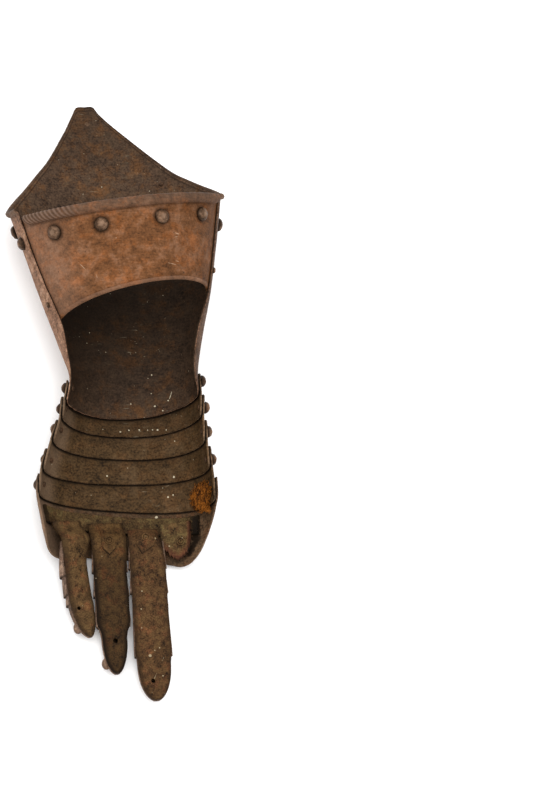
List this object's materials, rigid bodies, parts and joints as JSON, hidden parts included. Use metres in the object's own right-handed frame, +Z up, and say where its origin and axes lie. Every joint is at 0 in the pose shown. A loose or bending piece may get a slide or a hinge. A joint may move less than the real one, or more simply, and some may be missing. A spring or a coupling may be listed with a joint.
{
  "type": "armour gauntlet",
  "caption": "Steel plate gauntlet for a left hand: a pointed cuff with a roped inner band, overlapping lames, a knuckle plate and scaled fingers on leather straps.",
  "frame": {"origin": "middle of the footprint, on the surface that the gauntlet lies on", "axes": "+Y from the fingers to the cuff's point, +Z up out of the palm, +X to the side of the missing thumb"},
  "size_m": [0.1366, 0.3918, 0.1004],
  "materials": {
    "steel": "browned and pitted with age",
    "rusted_steel": "rust-brown, dull",
    "leather": "old, dry and worn",
    "fibre": "matted, rust-stained"
  },
  "bodies": {
    "cuff": {"band_rivet_1": "rusted_steel", "band_rivet_2": "rusted_steel", "band_rivet_3": "rusted_steel", "band_rivet_4": "rusted_steel", "cuff_plate": "steel", "cuff_rivet_1": "steel", "cuff_rivet_2": "steel", "cuff_rivet_3": "steel", "cuff_rivet_4": "steel", "cuff_rivet_5": "steel", "cuff_rivet_6": "steel", "cuff_rivet_7": "steel", "inner_band": "rusted_steel", "joining_rivet_left": "rusted_steel", "joining_rivet_right": "rusted_steel"},
    "first_lame": {"lame_1": "steel", "pivot_1_left": "steel", "pivot_1_right": "steel"},
    "second_lame": {"lame_2": "steel", "pivot_2_left": "steel", "pivot_2_right": "steel"},
    "third_lame": {"lame_3": "steel", "pivot_3_left": "steel", "pivot_3_right": "steel"},
    "fourth_lame": {"lame_4": "steel", "pivot_4_left": "steel", "pivot_4_right": "steel", "thumb_remnant": "fibre"},
    "knuckles": {"index_stub": "leather", "knuckle_plate": "steel", "knuckle_strap": "leather", "pivot_5_left": "steel", "pivot_5_right": "steel", "scale_little_1": "steel", "scale_little_2": "steel", "scale_little_3": "steel", "scale_little_tip": "steel", "scale_middle_1": "steel", "scale_middle_2": "steel", "scale_middle_3": "steel", "scale_middle_tip": "steel", "scale_ring_1": "steel", "scale_ring_2": "steel", "scale_ring_3": "steel", "scale_ring_tip": "steel", "strap_little": "leather", "strap_middle": "leather", "strap_ring": "leather"}
  },
  "joints": [
    {"name": "wrist_hinge", "type": "hinge", "parent": "cuff", "child": "first_lame", "pos_m": [0.00602, -0.0045, 0.03231], "axis": [0.9881, -0.0051, 0.1539], "range_deg": [-4, 6]},
    {"name": "second_hinge", "type": "hinge", "parent": "first_lame", "child": "second_lame", "pos_m": [0.00458, -0.0192, 0.03098], "axis": [0.9807, -0.0641, 0.1849], "range_deg": [-5, 6]},
    {"name": "third_hinge", "type": "hinge", "parent": "second_lame", "child": "third_lame", "pos_m": [0.0027, -0.03345, 0.03093], "axis": [0.9776, -0.0933, 0.1889], "range_deg": [-4, 5]},
    {"name": "fourth_hinge", "type": "hinge", "parent": "third_lame", "child": "fourth_lame", "pos_m": [0.00009, -0.05125, 0.0289], "axis": [0.9791, -0.0752, 0.1892], "range_deg": [-4, 5]},
    {"name": "knuckle_hinge", "type": "hinge", "parent": "fourth_lame", "child": "knuckles", "pos_m": [-0.00143, -0.0661, 0.02645], "axis": [0.9888, -0.0578, 0.1376], "range_deg": [-2.5, 5]}
  ]
}
